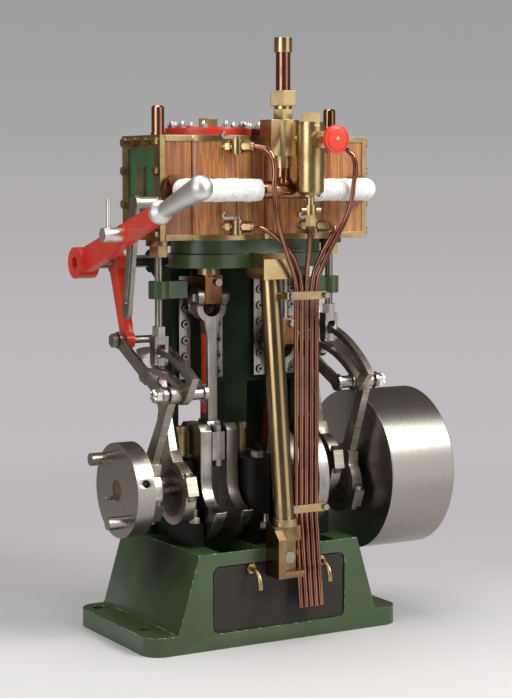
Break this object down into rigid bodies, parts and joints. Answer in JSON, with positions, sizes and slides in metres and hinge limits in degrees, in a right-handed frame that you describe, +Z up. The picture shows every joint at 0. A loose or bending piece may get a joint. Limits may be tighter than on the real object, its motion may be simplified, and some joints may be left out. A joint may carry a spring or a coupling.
{
  "type": "marine steam engine",
  "caption": "Model twin-cylinder vertical marine steam engine with link reversing gear at each end, cranked shaft, flywheel, wooden cylinder lagging and pipework.",
  "frame": {"origin": "on the underside of the bedplate, below the crank axis and midway between the two cylinders", "axes": "+X along the crankshaft towards the flywheel, +Y towards the rear standards, +Z up the cylinders"},
  "size_m": [0.241, 0.1831, 0.378],
  "materials": {
    "green_enamel": "gloss",
    "dark_green_enamel": "gloss",
    "black_paint": "satin",
    "brass": "polished",
    "machined_steel": "machined bright",
    "bronze": "machined",
    "cast_iron": "as cast",
    "mahogany": "varnished",
    "red_paint": "gloss",
    "copper": "polished",
    "white_lagging": "painted string lagging"
  },
  "bodies": {
    "engine": {"bedplate": "green_enamel", "sump_plate": "black_paint", "drain_stubs": "brass", "crankshaft": "machined_steel", "coupling_disc": "machined_steel", "flywheel": "machined_steel", "bearing_left": "black_paint", "bearing_middle": "black_paint", "bearing_right": "black_paint", "oil_cups": "brass", "eccentric_sheaves": "machined_steel", "conrod_left": "machined_steel", "conrod_right": "machined_steel", "crosshead_left": "bronze", "crosshead_right": "bronze", "guide_strips": "machined_steel", "standards": "dark_green_enamel", "entablature": "green_enamel", "cylinder_block": "cast_iron", "lagging": "mahogany", "brass_bands": "brass", "cylinder_covers": "red_paint", "cover_plugs": "brass", "tail_rod_covers": "copper", "chest_cover_left": "brass", "chest_cover_right": "brass", "valve_guides": "green_enamel", "valve_rod_left": "machined_steel", "lagged_pipes": "white_lagging", "copper_pipe": "copper", "stop_valve": "brass", "lubricator": "brass", "cock_bodies": "brass", "drain_pipes": "copper", "pipe_clips": "brass", "front_column": "brass"},
    "reversing_gear": {"weigh_shaft": "red_paint", "hand_lever": "red_paint", "clamp_screw": "machined_steel"},
    "front_rod_left": {"front_rod_left": "machined_steel"},
    "rear_rod_left": {"rear_rod_left": "machined_steel"},
    "link_left": {"link_left": "machined_steel"},
    "drag_links_left": {"drag_links_left": "machined_steel"},
    "front_rod_right": {"front_rod_right": "machined_steel"},
    "rear_rod_right": {"rear_rod_right": "machined_steel"},
    "link_right": {"link_right": "machined_steel"},
    "drag_links_right": {"drag_links_right": "machined_steel"},
    "valve_rod_right": {"valve_rod_right": "machined_steel"},
    "slotted_bar": {"slotted_bar": "machined_steel"},
    "handwheel": {"handwheel": "red_paint"},
    "cock_top_left": {"cock_top_left": "brass"},
    "cock_top_right": {"cock_top_right": "brass"},
    "cock_low_left": {"cock_low_left": "brass"},
    "cock_low_right": {"cock_low_right": "brass"}
  },
  "joints": [
    {"name": "reversing_lever", "type": "hinge", "parent": "engine", "child": "reversing_gear", "pos_m": [0, 0.044, 0.2385], "axis": [1, 0, 0], "range_deg": [-4, 32]},
    {"name": "front_rod_left_turn", "type": "hinge", "parent": "engine", "child": "front_rod_left", "pos_m": [-0.071, 0.00725, 0.09462], "axis": [1, 0, 0], "range_deg": [-19.63, 2.8]},
    {"name": "link_left_turn", "type": "hinge", "parent": "front_rod_left", "child": "link_left", "pos_m": [-0.063, -0.03218, 0.15994], "axis": [1, 0, 0], "range_deg": [-6.06, 1.11]},
    {"name": "rear_rod_left_turn", "type": "hinge", "parent": "engine", "child": "rear_rod_left", "pos_m": [-0.055, -0.00725, 0.09462], "axis": [1, 0, 0], "range_deg": [-19.47, 2.78]},
    {"name": "drag_links_left_turn", "type": "hinge", "parent": "reversing_gear", "child": "drag_links_left", "pos_m": [-0.071, 0.02802, 0.18933], "axis": [1, 0, 0], "range_deg": [-43.73, 5.82]},
    {"name": "front_rod_right_turn", "type": "hinge", "parent": "engine", "child": "front_rod_right", "pos_m": [0.071, -0.00338, 0.09075], "axis": [1, 0, 0], "range_deg": [-19.79, 2.82]},
    {"name": "link_right_turn", "type": "hinge", "parent": "front_rod_right", "child": "link_right", "pos_m": [0.063, -0.03277, 0.16116], "axis": [1, 0, 0], "range_deg": [-2.99, 0.72]},
    {"name": "rear_rod_right_turn", "type": "hinge", "parent": "engine", "child": "rear_rod_right", "pos_m": [0.055, -0.00338, 0.10525], "axis": [1, 0, 0], "range_deg": [-24.14, 3.37]},
    {"name": "drag_links_right_turn", "type": "hinge", "parent": "reversing_gear", "child": "drag_links_right", "pos_m": [0.071, 0.02802, 0.18933], "axis": [1, 0, 0], "range_deg": [-40.46, 5.41]},
    {"name": "valve_rod_right_slide", "type": "slide", "parent": "engine", "child": "valve_rod_right", "axis": [0, 0, 1], "range_m": [-0.00936, 0.00143]},
    {"name": "slotted_bar_swing", "type": "hinge", "parent": "engine", "child": "slotted_bar", "pos_m": [-0.0895, -0.021, 0.277], "axis": [1, 0, 0], "range_deg": [-14.8, 2.2]},
    {"name": "feed_wheel_turn", "type": "hinge", "parent": "engine", "child": "handwheel", "pos_m": [0.011, -0.0875, 0.3155], "axis": [0, 1, 0], "range_deg": [0, 720]},
    {"name": "cock_top_left_turn", "type": "hinge", "parent": "engine", "child": "cock_top_left", "pos_m": [-0.02984, -0.04127, 0.3115], "axis": [0, 0, 1], "range_deg": [0, 90]},
    {"name": "cock_top_right_turn", "type": "hinge", "parent": "engine", "child": "cock_top_right", "pos_m": [0.02516, -0.04127, 0.3115], "axis": [0, 0, 1], "range_deg": [0, 90]},
    {"name": "cock_low_left_turn", "type": "hinge", "parent": "engine", "child": "cock_low_left", "pos_m": [-0.02984, -0.04127, 0.2625], "axis": [0, 0, 1], "range_deg": [0, 90]},
    {"name": "cock_low_right_turn", "type": "hinge", "parent": "engine", "child": "cock_low_right", "pos_m": [0.02516, -0.04127, 0.2625], "axis": [0, 0, 1], "range_deg": [0, 90]}
  ],
  "couplings": [
    {"joint": "front_rod_left_turn", "follows": "reversing_lever", "ratio": -0.601},
    {"joint": "link_left_turn", "follows": "reversing_lever", "ratio": -0.177},
    {"joint": "rear_rod_left_turn", "follows": "reversing_lever", "ratio": -0.596},
    {"joint": "drag_links_left_turn", "follows": "reversing_lever", "ratio": -1.354},
    {"joint": "front_rod_right_turn", "follows": "reversing_lever", "ratio": -0.606},
    {"joint": "link_right_turn", "follows": "reversing_lever", "ratio": -0.081},
    {"joint": "rear_rod_right_turn", "follows": "reversing_lever", "ratio": -0.742},
    {"joint": "drag_links_right_turn", "follows": "reversing_lever", "ratio": -1.252},
    {"joint": "valve_rod_right_slide", "follows": "reversing_lever", "m_per_rad": -0.016215},
    {"joint": "slotted_bar_swing", "follows": "reversing_lever", "ratio": -0.45}
  ]
}
